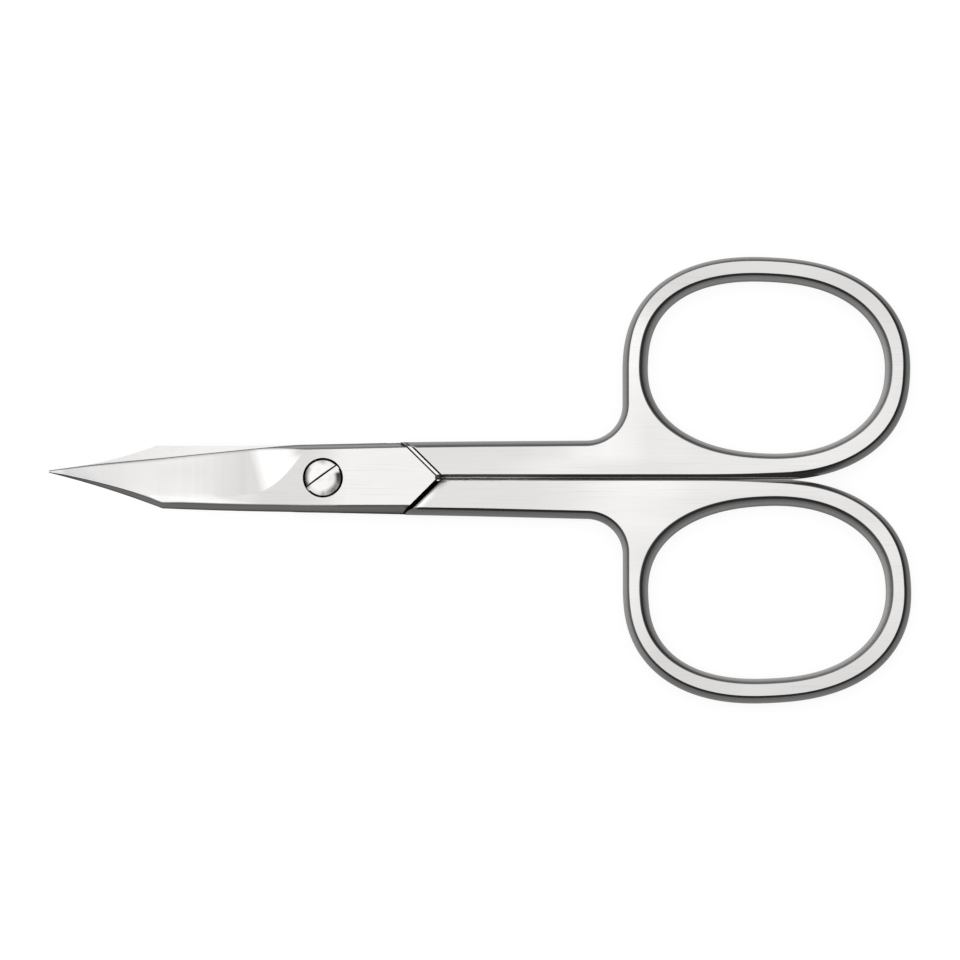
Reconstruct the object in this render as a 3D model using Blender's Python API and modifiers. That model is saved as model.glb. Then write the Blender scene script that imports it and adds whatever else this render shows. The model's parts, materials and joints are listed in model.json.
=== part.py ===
# Nail scissors: two crossed halves with finger rings and curved blades, held by a slotted screw.
# Metres, +Z up. The pivot axis is +Z through the origin, the rings lie towards +X and the tips
# towards -X. The scissors lie closed on the plane z = 0 and the blades curve up, away from it.

import math

import bmesh
import bpy

MM = 0.001

# Handles: two shanks that part along the plane y = 0, each ending in a finger ring
HANDLE_THICKNESS = 3.0 * MM
PARTING_GAP = 0.2 * MM
PARTING_CROWN = 0.24 * MM
SHANK_REACH = 3.88 * MM
SHANK_FLARE = 0.3 * MM
RING_DISTANCE = 46.28 * MM
RING_HALF_LENGTH = 15.03 * MM
RING_HALF_WIDTH = 11.75 * MM
RING_LIFT = 0.03 * MM
RING_SQUARENESS = 2.28
RING_CROWN = 0.06
RING_LEAN = math.radians(-3.0)
RING_WALL = 2.65 * MM
RING_FILLET = 3.8 * MM
HOLE_LIFT = 0.09 * MM
HOLE_SHOULDER = 0.09
ROUND_SIDE = 0.68 * MM
HOLE_SIDE = 0.78 * MM

# Joint: each half is thinned to a plate that ends in an arrow and laps over the other plate
PLATE_LENGTH = 11.9 * MM
PLATE_REACH = 3.58 * MM
PLATE_DROP = 0.15 * MM
LAP_GAP = 0.1 * MM
SHOULDER_GAP = 0.18 * MM
SHOULDER_FACET = 0.34 * MM
SHOULDER_ROUND = 0.7 * MM
ARROW_ROUND = 2.0 * MM
ARROW_SHARP = 0.2 * MM
SHANK_STEP = 0.02 * MM
LAP_RUN = 1.0 * MM

# Blades: ground on the outside, with a common dished surface between them
BLADE_LENGTH = 28.45 * MM
BLADE_CORNER = 16.7 * MM
BLADE_REACH = 3.28 * MM
BACK_HOLLOW = 0.27 * MM
CURVE_START = 6.0 * MM
TIP_RISE = 5.5 * MM
TIP_WIDTH = 0.2 * MM
TIP_SHIFT = -0.06 * MM
TIP_TAPER = 1.5 * MM
EDGE_HEEL = 2.4 * MM
EDGE_FULLNESS = 1.2
EDGE_TURN = 0.15
EDGE_THICKNESS = 0.2 * MM
BACK_SLANT = 0.46
EDGE_SLANT = 0.58
HONE_SLANT = 0.75
GRIND_SLOPE = 0.22
POINT_SLOPE = 0.33
POINT_START = 14.0 * MM
POINT_END = 25.0 * MM
GRIND_LENGTH = 7.5 * MM
WHEEL_RADIUS = 16.7 * MM

# Pivot screw: head sunk in the upper half, tail in the thread of the lower half
HEAD_DIAMETER = 3.9 * MM
HEAD_HEIGHT = 0.8 * MM
HEAD_DOME = 0.12 * MM
HEAD_CLEARANCE = 0.15 * MM
SCREW_DIAMETER = 2.4 * MM
RUNNING_CLEARANCE = 0.05 * MM
TAIL_CHAMFER = 0.15 * MM
SLOT_WIDTH = 0.6 * MM
SLOT_DEPTH = 0.45 * MM
SLOT_ANGLE = math.radians(36.4)

# Fineness of the facets
RING_POINTS = 60
PARTING_POINTS = 16
FILLET_POINTS = 8
ARROW_POINTS = 4
SIDE_STEPS = 6
BLADE_STEP = 1.5 * MM
GRIND_STEP = 0.6 * MM
ROUND_POINTS = 48

# Sizes that follow from the ones above
HALF_THICKNESS = HANDLE_THICKNESS / 2
PLATE_THICKNESS = HALF_THICKNESS - LAP_GAP / 2 - PLATE_DROP
SHOULDER_REACH = PLATE_LENGTH + SHOULDER_GAP * math.sqrt(2)
RING_HEIGHT = RING_HALF_WIDTH + RING_LIFT
CURVE_RADIUS = (BLADE_LENGTH - CURVE_START) ** 2 / (2 * TIP_RISE)
PARTING = PARTING_GAP / 2
SINK = 0.03 * MM
WELD = 0.001 * MM
BEYOND = 10.0 * MM
TINY_TURN = 1e-4


def mix(start, end, share):
    return start + (end - start) * share


def solve(value, low, high):
    # Where a function that changes sign between low and high is nought
    rising = value(high) > value(low)
    for _ in range(50):
        middle = (low + high) / 2
        if (value(middle) > 0) == rising:
            high = middle
        else:
            low = middle
    return (low + high) / 2


# Outline of a handle, seen from above, for the half whose ring is on the +Y side


def ring_point(angle, inset=0.0, lift=0.0, shoulder=0.0):
    # A squared oval that leans a little towards the blades, and is squarer away from the parting
    # face and, by the amount of its shoulder, on the side of the shank
    power = 2 / (RING_SQUARENESS + RING_CROWN * math.sin(angle) - shoulder * math.cos(angle))
    along = math.copysign(abs(math.cos(angle)) ** power, math.cos(angle)) * (RING_HALF_LENGTH - inset)
    across = math.copysign(abs(math.sin(angle)) ** power, math.sin(angle)) * (RING_HALF_WIDTH - inset)
    x = RING_DISTANCE + along * math.cos(RING_LEAN) - across * math.sin(RING_LEAN)
    y = RING_HEIGHT + lift + along * math.sin(RING_LEAN) + across * math.cos(RING_LEAN)
    return x, y


def ring_normal(angle):
    before, after = ring_point(angle - TINY_TURN), ring_point(angle + TINY_TURN)
    dx, dy = after[0] - before[0], after[1] - before[1]
    length = math.hypot(dx, dy)
    return dy / length, -dx / length


def shank_reach(x):
    # Outer edge of the shank, a little wider where it nears the ring
    return SHANK_REACH + SHANK_FLARE * (x - PLATE_LENGTH) / (RING_DISTANCE - RING_HALF_LENGTH - PLATE_LENGTH)


def parting_crown(x, end):
    # The parting face is slightly crowned and runs out into the round side of the ring
    start = RING_DISTANCE - RING_HALF_LENGTH / 2
    share = max(0.0, (x - start) / (end - start))
    return mix(PARTING_CROWN, ROUND_SIDE, share**2)


def handle_outline():
    # Points counter-clockwise, each with the bulge of the side that starts there; None is the shoulder
    leave = solve(lambda angle: ring_point(angle)[1] - PARTING, math.radians(-89), math.radians(-30))
    leftmost = solve(lambda angle: ring_normal(angle)[1], math.radians(150), math.radians(210))
    start, end = SHOULDER_REACH - PARTING, ring_point(leave)[0]
    outline = []
    for i in range(PARTING_POINTS):
        x = mix(start, end, i / PARTING_POINTS)
        outline.append((x, PARTING, parting_crown(x, end)))
    for i in range(RING_POINTS + 1):
        outline.append((*ring_point(mix(leave, leftmost, i / RING_POINTS)), ROUND_SIDE))
    centre_x = outline[-1][0] - RING_FILLET
    centre_y = shank_reach(centre_x) + RING_FILLET
    for i in range(FILLET_POINTS + 1):
        angle = -math.pi / 2 * i / FILLET_POINTS
        x, y = centre_x + RING_FILLET * math.cos(angle), centre_y + RING_FILLET * math.sin(angle)
        outline.append((x, y, ROUND_SIDE))
    corner = SHOULDER_REACH - SHANK_REACH
    outline.append((corner, shank_reach(corner), None))
    return outline


def hole_outline():
    # Clockwise, so that the inset moves away from the hole
    angles = [-2 * math.pi * i / RING_POINTS for i in range(RING_POINTS)]
    return [(*ring_point(angle, RING_WALL, HOLE_LIFT, HOLE_SHOULDER), HOLE_SIDE) for angle in angles]


def side_inset(bulge, height):
    # How far a side stands back at a height above the middle of the handle
    if bulge is not None:
        radius = (HALF_THICKNESS**2 + bulge**2) / (2 * bulge)
        return radius - math.sqrt(radius**2 - height**2)
    facet = HALF_THICKNESS - PLATE_DROP - SINK
    if height > facet:
        return SHOULDER_FACET * (height - facet) / (PLATE_DROP + SINK)
    depth = max(0.0, SHOULDER_ROUND - HALF_THICKNESS - height)
    return SHOULDER_ROUND - math.sqrt(SHOULDER_ROUND**2 - depth**2)


def inset_loop(outline, height):
    # Each side moves in by its own amount, and neighbours meet where they cross
    count = len(outline)
    normals = []
    for i in range(count):
        (x0, y0, _), (x1, y1, _) = outline[i], outline[(i + 1) % count]
        length = math.hypot(x1 - x0, y1 - y0)
        normals.append(((y0 - y1) / length, (x1 - x0) / length))
    points = []
    for i in range(count):
        (ax, ay), (bx, by) = normals[i - 1], normals[i]
        a = side_inset(outline[i - 1][2], height)
        b = side_inset(outline[i][2], height)
        turn = ax * by - ay * bx
        if abs(turn) < 0.3:
            share = (a + b) / 2 / (1 + ax * bx + ay * by)
            dx, dy = (ax + bx) * share, (ay + by) * share
        else:
            dx, dy = (a * by - b * ay) / turn, (ax * b - bx * a) / turn
        points.append((outline[i][0] + dx, outline[i][1] + dy))
    return points


def round_arrow(points, height):
    # The first corner, between shoulder and parting face, is rounded more towards the outer face
    radius = mix(ARROW_SHARP, ARROW_ROUND, max(0.0, -height / HALF_THICKNESS) ** 2)
    x, y = points[0]
    ways = []
    for px, py in (points[-1], points[1]):
        length = math.hypot(px - x, py - y)
        ways.append(((px - x) / length, (py - y) / length))
    (ax, ay), (bx, by) = ways
    half_angle = math.acos(ax * bx + ay * by) / 2
    run = radius / math.tan(half_angle)
    reach = radius / math.sin(half_angle) / math.hypot(ax + bx, ay + by)
    centre_x, centre_y = x + (ax + bx) * reach, y + (ay + by) * reach
    start = math.atan2(y + ay * run - centre_y, x + ax * run - centre_x)
    end = math.atan2(y + by * run - centre_y, x + bx * run - centre_x)
    angles = [mix(start, end, i / ARROW_POINTS) for i in range(ARROW_POINTS + 1)]
    arc = [(centre_x + radius * math.cos(angle), centre_y + radius * math.sin(angle)) for angle in angles]
    return arc + points[1:]


def handle_levels():
    radius = (HALF_THICKNESS**2 + ROUND_SIDE**2) / (2 * ROUND_SIDE)
    widest = math.asin(HALF_THICKNESS / radius)
    levels = [radius * math.sin(mix(-widest, widest, i / SIDE_STEPS)) for i in range(SIDE_STEPS + 1)]
    return sorted(levels[:-1] + [HALF_THICKNESS - PLATE_DROP - SINK, HALF_THICKNESS])


def make_handle(name, side):
    # The sides are lofted through the levels and the two flat faces are filled around the hole
    bm = bmesh.new()
    levels = handle_levels()
    rims = {0: [], len(levels) - 1: []}
    for outline, is_hole in ((handle_outline(), False), (hole_outline(), True)):
        rings = []
        for height in levels:
            points = inset_loop(outline, height)
            if not is_hole:
                points = round_arrow(points, height)
            rings.append([bm.verts.new((x, side * y, HALF_THICKNESS + side * height)) for x, y in points])
        count = len(rings[0])
        for low, high in zip(rings, rings[1:]):
            for i in range(count):
                j = (i + 1) % count
                bm.faces.new((low[i], low[j], high[j], high[i]))
        for level in rims:
            rims[level] += [bm.edges.get((rings[level][i], rings[level][i - 1])) for i in range(count)]
    for edges in rims.values():
        bmesh.ops.triangle_fill(bm, edges=edges, use_beauty=True)
    bmesh.ops.recalc_face_normals(bm, faces=bm.faces)
    return finish_mesh(name, bm)


# Plate and blade of one half, as cross-sections at stations along X


def plate_reach(x):
    # Half width of the plates and blades at their meeting face
    if x < 0:
        return mix(PLATE_REACH, BLADE_REACH, min(-x / BLADE_CORNER, 1.0))
    return mix(PLATE_REACH, SHANK_REACH - SHANK_STEP, min(x / PLATE_LENGTH, 1.0))


def back_line(x):
    # Back of the blade: straight to the corner, then a slightly hollow run to the tip
    if x > -BLADE_CORNER:
        return -plate_reach(x)
    share = (-x - BLADE_CORNER) / (BLADE_LENGTH - BLADE_CORNER)
    return mix(-BLADE_REACH, TIP_SHIFT - TIP_WIDTH / 2, share) + BACK_HOLLOW * 4 * share * (1 - share)


def edge_line(x):
    # The other side of the plate, which from the heel to the tip is the cutting edge: nearly
    # straight, with a quicker turn at the tip
    share = (-x - EDGE_HEEL) / (BLADE_LENGTH - EDGE_HEEL)
    if share <= 0:
        return plate_reach(x)
    return mix(plate_reach(-EDGE_HEEL), TIP_SHIFT + TIP_WIDTH / 2, mix(share**EDGE_FULLNESS, share**6, EDGE_TURN))


def dish(x, y):
    # Height of the face between the blades: a surface of revolution, so that they slide at any angle
    reach = math.hypot(x, y)
    return (reach - CURVE_START) ** 2 / (2 * CURVE_RADIUS) if x < 0 and reach > CURVE_START else 0.0


def grind_run_out(x):
    # The grinding wheel leaves the blade on a curve before it reaches the screw
    return (x + GRIND_LENGTH) ** 2 / (2 * WHEEL_RADIUS) if x > -GRIND_LENGTH else 0.0


def grind_slope(x):
    # The outer face is ground steeper towards the tip
    return mix(GRIND_SLOPE, POINT_SLOPE, min(max((-x - POINT_START) / (POINT_END - POINT_START), 0.0), 1.0))


def section(x):
    # Pairs of y and thickness: the meeting face from edge to back, then the outer face back again
    back, edge, slope = back_line(x), edge_line(x), grind_slope(x)
    taper = min(mix(0.3, 1.0, (x + BLADE_LENGTH) / TIP_TAPER), 1.0)
    ground = EDGE_THICKNESS * taper + grind_run_out(x)
    edge_slant = max(EDGE_SLANT, HONE_SLANT * EDGE_THICKNESS / max(ground, EDGE_THICKNESS))
    back_thickness = min(PLATE_THICKNESS, (ground + slope * (edge - back)) / (1 + slope * BACK_SLANT))
    edge_thickness = min(PLATE_THICKNESS, ground / (1 - slope * edge_slant))
    outer_back = back + BACK_SLANT * back_thickness
    outer_edge = edge - edge_slant * edge_thickness
    ridge = edge - (PLATE_THICKNESS - ground) / slope
    ridge = min(max(ridge, outer_back), outer_edge)
    ridge_thickness = min(PLATE_THICKNESS, ground + slope * (edge - ridge))
    points = [(mix(edge, back, i / 4), 0.0) for i in range(5)]
    for i in range(2):
        points.append((mix(outer_back, ridge, i / 2), mix(back_thickness, ridge_thickness, i / 2)))
    for i in range(4):
        points.append((mix(ridge, outer_edge, i / 3), mix(ridge_thickness, edge_thickness, i / 3)))
    return points


def stations():
    # Closer together where the grinding runs out
    stops = [-BLADE_LENGTH, -BLADE_CORNER, -GRIND_LENGTH, 0.0, PLATE_LENGTH, PLATE_LENGTH + LAP_RUN]
    steps = [BLADE_STEP, BLADE_STEP, GRIND_STEP, PLATE_LENGTH, LAP_RUN]
    places = [stops[0]]
    for start, end, step in zip(stops, stops[1:], steps):
        count = math.ceil((end - start) / step)
        places += [mix(start, end, (i + 1) / count) for i in range(count)]
    return places


def make_blade(name, side):
    bm = bmesh.new()
    rings = []
    for x in stations():
        ring = []
        for y, thickness in section(x):
            z = HALF_THICKNESS + dish(x, y) + side * (LAP_GAP / 2 + thickness)
            ring.append(bm.verts.new((x, side * y, z)))
        rings.append(ring)
    count = len(rings[0])
    for near, far in zip(rings, rings[1:]):
        for i in range(count):
            j = (i + 1) % count
            bm.faces.new((near[i], near[j], far[j], far[i]))
    bm.faces.new(rings[0])
    bm.faces.new(rings[-1])
    bmesh.ops.remove_doubles(bm, verts=bm.verts, dist=WELD)
    bmesh.ops.recalc_face_normals(bm, faces=bm.faces)
    return finish_mesh(name, bm)


def finish_mesh(name, bm):
    mesh = bpy.data.meshes.new(name)
    bm.to_mesh(mesh)
    bm.free()
    mesh.shade_smooth()
    mesh.set_sharp_from_angle(angle=math.radians(30))
    return bpy.data.objects.new(name, mesh)


def flat_prism(name, points, bottom, top):
    # A flat outline made thick
    curve = bpy.data.curves.new(name, "CURVE")
    curve.dimensions = "2D"
    curve.fill_mode = "BOTH"
    curve.extrude = (top - bottom) / 2
    spline = curve.splines.new("POLY")
    spline.points.add(len(points) - 1)
    for spline_point, (x, y) in zip(spline.points, points):
        spline_point.co = (x, y, 0.0, 1.0)
    spline.use_cyclic_u = True
    shape = bpy.data.objects.new(name, curve)
    bpy.context.scene.collection.objects.link(shape)
    shape.location.z = (top + bottom) / 2
    bpy.context.view_layer.update()
    evaluated = shape.evaluated_get(bpy.context.evaluated_depsgraph_get())
    bm = bmesh.new()
    bm.from_mesh(evaluated.to_mesh())
    bm.transform(shape.matrix_world)
    bmesh.ops.remove_doubles(bm, verts=bm.verts, dist=WELD)
    bmesh.ops.recalc_face_normals(bm, faces=bm.faces)
    bpy.data.objects.remove(shape)
    return finish_mesh(name, bm)


def cylinder(name, diameter, bottom, top):
    bm = bmesh.new()
    radius = diameter / 2
    bmesh.ops.create_cone(
        bm, cap_ends=True, segments=ROUND_POINTS, radius1=radius, radius2=radius, depth=top - bottom
    )
    bmesh.ops.translate(bm, verts=bm.verts, vec=(0.0, 0.0, (top + bottom) / 2))
    return finish_mesh(name, bm)


def combine(target, tool, operation):
    # The tool stays in its own collection, seen as wires and left out of the part
    tool.hide_render = True
    tool.display_type = "WIRE"
    tools.objects.link(tool)
    step = target.modifiers.new(tool.name, "BOOLEAN")
    step.operation = operation
    step.solver = "EXACT"
    step.object = tool


def steel(name, colour, roughness):
    material = bpy.data.materials.new(name)
    material.use_nodes = True
    shader = material.node_tree.nodes["Principled BSDF"]
    shader.inputs["Base Color"].default_value = (*colour, 1.0)
    shader.inputs["Metallic"].default_value = 1.0
    shader.inputs["Roughness"].default_value = roughness
    return material


def make_half(name, side, material):
    # One half of the scissors: side is 1 for the half under the screw head and -1 for the other
    half = make_blade(name, side)
    inside_shank = PARTING + PARTING_CROWN
    lap_end = [
        (PLATE_LENGTH - PARTING, side * PARTING),
        (SHOULDER_REACH + PARTING_CROWN, side * inside_shank),
        (PLATE_LENGTH + BEYOND, side * inside_shank),
        (PLATE_LENGTH + BEYOND, -side * BEYOND),
        (PLATE_LENGTH - BEYOND, -side * BEYOND),
    ]
    combine(half, flat_prism(name + "_lap_end", lap_end, -BEYOND, BEYOND), "DIFFERENCE")
    combine(half, make_handle(name + "_handle", side), "UNION")
    bore = SCREW_DIAMETER + 2 * RUNNING_CLEARANCE
    combine(half, cylinder(name + "_bore", bore, -BEYOND, BEYOND), "DIFFERENCE")
    half.data.materials.append(material)
    parts.objects.link(half)
    return half


def make_screw(material):
    # Turned: dome, head, shank and the chamfered tail, from the top of the axis to the bottom
    head_radius, radius = HEAD_DIAMETER / 2, SCREW_DIAMETER / 2
    head_top = HANDLE_THICKNESS - PLATE_DROP
    head_bottom = head_top - HEAD_HEIGHT
    dome_radius = (head_radius**2 + HEAD_DOME**2) / (2 * HEAD_DOME)
    dome_angle = math.asin(head_radius / dome_radius)
    profile = []
    for i in range(6):
        angle = dome_angle * i / 5
        profile.append((dome_radius * math.sin(angle), head_top + HEAD_DOME - dome_radius * (1 - math.cos(angle))))
    profile += [
        (head_radius, head_bottom),
        (radius, head_bottom),
        (radius, TAIL_CHAMFER),
        (radius - TAIL_CHAMFER, 0.0),
        (0.0, 0.0),
    ]
    mesh = bpy.data.meshes.new("pivot_screw")
    mesh.from_pydata([(x, 0.0, z) for x, z in profile], [(i, i + 1) for i in range(len(profile) - 1)], [])
    screw = bpy.data.objects.new("pivot_screw", mesh)
    turn = screw.modifiers.new("turned", "SCREW")
    turn.steps = turn.render_steps = ROUND_POINTS
    turn.use_merge_vertices = True
    turn.merge_threshold = WELD
    turn.use_smooth_shade = True
    bm = bmesh.new()
    bmesh.ops.create_cube(bm, size=1.0)
    bmesh.ops.scale(bm, verts=bm.verts, vec=(HEAD_DIAMETER + 2 * MM, SLOT_WIDTH, 2 * (SLOT_DEPTH + HEAD_DOME)))
    slot = finish_mesh("screw_slot", bm)
    slot.location.z = head_top + HEAD_DOME
    slot.rotation_euler.z = SLOT_ANGLE
    combine(screw, slot, "DIFFERENCE")
    screw.data.materials.append(material)
    parts.objects.link(screw)
    return screw


for leftover in list(bpy.data.objects):
    bpy.data.objects.remove(leftover)

parts = bpy.data.collections.new("nail_scissors")
tools = bpy.data.collections.new("cutters")
bpy.context.scene.collection.children.link(parts)
bpy.context.scene.collection.children.link(tools)

brushed = steel("brushed_steel", (0.78, 0.77, 0.75), 0.32)
bright = steel("bright_steel", (0.72, 0.71, 0.70), 0.22)

make_half("lower_half", -1, brushed)
upper = make_half("upper_half", 1, brushed)
recess_floor = HANDLE_THICKNESS - PLATE_DROP - HEAD_HEIGHT - RUNNING_CLEARANCE
recess = cylinder("screw_recess", HEAD_DIAMETER + 2 * HEAD_CLEARANCE, recess_floor, BEYOND)
combine(upper, recess, "DIFFERENCE")
make_screw(bright)
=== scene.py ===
import json
import math

import bmesh
import bpy
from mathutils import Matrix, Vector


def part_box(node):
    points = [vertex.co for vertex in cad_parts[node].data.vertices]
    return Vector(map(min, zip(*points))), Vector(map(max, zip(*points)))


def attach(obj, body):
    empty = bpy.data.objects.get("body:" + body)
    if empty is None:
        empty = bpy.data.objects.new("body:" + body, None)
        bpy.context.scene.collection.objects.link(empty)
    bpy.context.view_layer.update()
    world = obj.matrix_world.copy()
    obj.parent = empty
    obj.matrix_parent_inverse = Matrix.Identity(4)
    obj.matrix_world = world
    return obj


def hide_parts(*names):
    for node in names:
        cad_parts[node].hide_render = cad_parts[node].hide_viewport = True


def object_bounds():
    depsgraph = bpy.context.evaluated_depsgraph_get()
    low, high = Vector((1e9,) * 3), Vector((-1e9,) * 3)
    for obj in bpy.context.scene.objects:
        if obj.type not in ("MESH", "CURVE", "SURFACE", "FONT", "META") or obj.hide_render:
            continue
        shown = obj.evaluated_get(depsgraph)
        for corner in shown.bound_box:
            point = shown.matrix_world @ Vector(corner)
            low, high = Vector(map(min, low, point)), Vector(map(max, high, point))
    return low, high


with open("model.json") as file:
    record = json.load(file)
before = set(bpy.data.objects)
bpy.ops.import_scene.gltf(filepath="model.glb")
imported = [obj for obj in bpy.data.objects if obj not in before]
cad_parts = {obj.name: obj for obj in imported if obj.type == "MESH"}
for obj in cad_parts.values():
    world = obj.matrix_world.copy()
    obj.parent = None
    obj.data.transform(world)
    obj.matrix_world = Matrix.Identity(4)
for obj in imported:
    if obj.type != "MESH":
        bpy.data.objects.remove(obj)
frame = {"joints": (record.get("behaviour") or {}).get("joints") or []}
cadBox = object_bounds()
mm = 0.001
samePlace = 0.0002 * mm  # points closer than this are one
clearOfIt = 10 * mm  # how far cutting tools reach past the piece

# the pivot lies in the middle of the thickness, and the far corners give the tip
middle = frame["joints"][0]["pos_m"][2]
tip = -cadBox[0].x - 0.001 * mm
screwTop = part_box("pivot_screw")[1].z


class Tree:
    def __init__(self, nodeTree):
        self.nodeTree = nodeTree

    def node(self, kind, settings=None, inputs=None, output=0):
        made = self.nodeTree.nodes.new(kind)
        for name, value in (settings or {}).items():
            if name == "stops":
                self.setStops(made.color_ramp.elements, value)
            else:
                setattr(made, name, value)
        self.feed(made, inputs or {})
        return Wire(self, made.outputs[output])

    def feed(self, node, inputs):
        # each socket gets a link or a value
        for name, value in inputs.items():
            if isinstance(value, Wire):
                self.nodeTree.links.new(value.socket, node.inputs[name])
            else:
                node.inputs[name].default_value = value

    def setStops(self, elements, stops):
        while len(elements) < len(stops):
            elements.new(1.0)
        for element, (position, colour) in zip(elements, stops):
            element.position = position
            element.color = (*colour, 1.0)

    def noise(self, place, stretch, detail=2.0):
        factors = {0: place, 1: stretch}
        vector = self.node("ShaderNodeVectorMath", {"operation": "MULTIPLY"}, factors)
        noise = {"Vector": vector, "Scale": 1.0, "Detail": detail}
        return self.node("ShaderNodeTexNoise", {}, noise)

    def ramp(self, stops, along):
        # pairs of position and grey value
        grey = {"stops": [(position, (value, value, value)) for position, value in stops]}
        return self.node("ShaderNodeValToRGB", grey, {0: along})

    def scaled(self, tint, value):
        return self.node("ShaderNodeVectorMath", {"operation": "SCALE"}, {0: tint, "Scale": value})

    def length(self, x, y):
        return self.node("ShaderNodeMath", {"operation": "SQRT"}, {0: x**2 + y**2})

    def turn(self, x, y):
        # the way from the first axis as a share of a whole turn
        angle = self.node("ShaderNodeMath", {"operation": "ARCTAN2"}, {0: y, 1: x})
        return self.node("ShaderNodeMath", {"operation": "FRACT"}, {0: angle / (2 * math.pi) + 1})

    def finish(self, geometry, steel):
        # the export needs real geometry and its material
        # instances become real geometry, and the piece gets its material
        whole = self.node("GeometryNodeRealizeInstances", {}, {"Geometry": geometry})
        finished = {"Geometry": whole, "Material": steel}
        made = self.node("GeometryNodeSetMaterial", {}, finished)
        self.feed(self.nodeTree.nodes.new("NodeGroupOutput"), {0: made})


class Wire:
    # one socket: arithmetic on it adds Math nodes to its tree
    def __init__(self, tree, socket):
        self.tree = tree
        self.socket = socket

    def __getitem__(self, name):
        return Wire(self.tree, self.socket.node.outputs[name])

    def maths(self, operation, *values):
        return self.tree.node("ShaderNodeMath", {"operation": operation}, dict(enumerate(values)))

    def __add__(self, other):
        return self.maths("ADD", self, other)

    def __radd__(self, other):
        return self.maths("ADD", other, self)

    def __sub__(self, other):
        return self.maths("SUBTRACT", self, other)

    def __rsub__(self, other):
        return self.maths("SUBTRACT", other, self)

    def __mul__(self, other):
        return self.maths("MULTIPLY", self, other)

    def __rmul__(self, other):
        return self.maths("MULTIPLY", other, self)

    def __truediv__(self, other):
        return self.maths("DIVIDE", self, other)

    def __pow__(self, other):
        return self.maths("POWER", self, other)

    def __abs__(self):
        return self.maths("ABSOLUTE", self)

    def atMost(self, other):
        return self.maths("MINIMUM", self, other)

    def atLeast(self, other):
        return self.maths("MAXIMUM", self, other)

    def share(self, low, high, shape="LINEAR"):
        # 0 up to low, 1 from high on
        inputs = {"Value": self, "From Min": low, "From Max": high}
        return self.tree.node("ShaderNodeMapRange", {"interpolation_type": shape}, inputs)


def mix(start, end, share):
    return start + (end - start) * share


def solve(value, low, high):
    # where a function that changes sign between low and high is nought
    rising = value(high) > value(low)
    for _ in range(50):
        centre = (low + high) / 2
        if (value(centre) > 0) == rising:
            high = centre
        else:
            low = centre
    return (low + high) / 2


def place(name, mesh):
    piece = bpy.data.objects.new(name, mesh)
    bpy.context.scene.collection.objects.link(piece)
    return piece


def fillMesh(mesh, bm):
    # double points go, and the normals point outwards
    bmesh.ops.remove_doubles(bm, verts=bm.verts, dist=samePlace)
    bmesh.ops.recalc_face_normals(bm, faces=bm.faces)
    bm.to_mesh(mesh)
    bm.free()
    return mesh


def meshFrom(name, bm):
    return fillMesh(bpy.data.meshes.new(name), bm)


def mend(piece):
    bm = bmesh.new()
    bm.from_mesh(piece.data)
    fillMesh(piece.data, bm)
    return piece


def settle(piece):
    # what the modifiers make becomes the piece's own mesh
    graph = bpy.context.evaluated_depsgraph_get()
    mesh = bpy.data.meshes.new_from_object(piece.evaluated_get(graph), depsgraph=graph)
    piece.modifiers.clear()
    piece.data = mesh
    return piece


def combine(piece, tool, operation):
    step = piece.modifiers.new(tool.name, "BOOLEAN")
    step.operation = operation
    step.solver = "EXACT"
    step.object = tool
    settle(piece)
    bpy.data.objects.remove(tool)


def smooth(piece, sharpAngle):
    # flat faces keep their own normals, and the small rounded edges take up the turn
    mend(piece)
    piece.data.shade_smooth()
    piece.data.set_sharp_from_angle(angle=sharpAngle)
    weigh = piece.modifiers.new("weigh", "WEIGHTED_NORMAL")
    weigh.keep_sharp = True
    settle(piece)


joint = {
    "partingGap": 0.1 * mm,
    "plateLength": 11.9 * mm,
    "plateReach": 3.61 * mm,
    "plateDrop": 0.15 * mm,
    "lapGap": 0.1 * mm,
    "shoulderGap": 0.18 * mm,
    "facet": 0.38 * mm,
    "facetSink": 0.03 * mm,
    "shoulderRound": 0.7 * mm,
    "arrowRound": 2.0 * mm,
    "arrowSharp": 0.1 * mm,
    "arrowSteps": 8,
    "seamShifts": {1: -0.13 * mm, -1: 0.1 * mm},  # of the shoulder of each half
    "stopAngle": math.radians(133),
    "stopRelief": 0.39 * mm,  # off the corner of the shoulder, under the plate
    "stopHeight": 0.12 * mm,
    "setting": 0.13 * mm,  # the outer edges of both halves sit a little to the +Y side
    "lapRun": 1.0 * mm,
    "lineWidths": {"foot": 0.17 * mm, "crest": 0.24 * mm},
    "lineLift": 0.01 * mm,
}
parting = joint["partingGap"] / 2
shoulderReach = joint["plateLength"] + joint["shoulderGap"] * math.sqrt(2)
plateThickness = middle - joint["lapGap"] / 2 - joint["plateDrop"]

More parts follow.
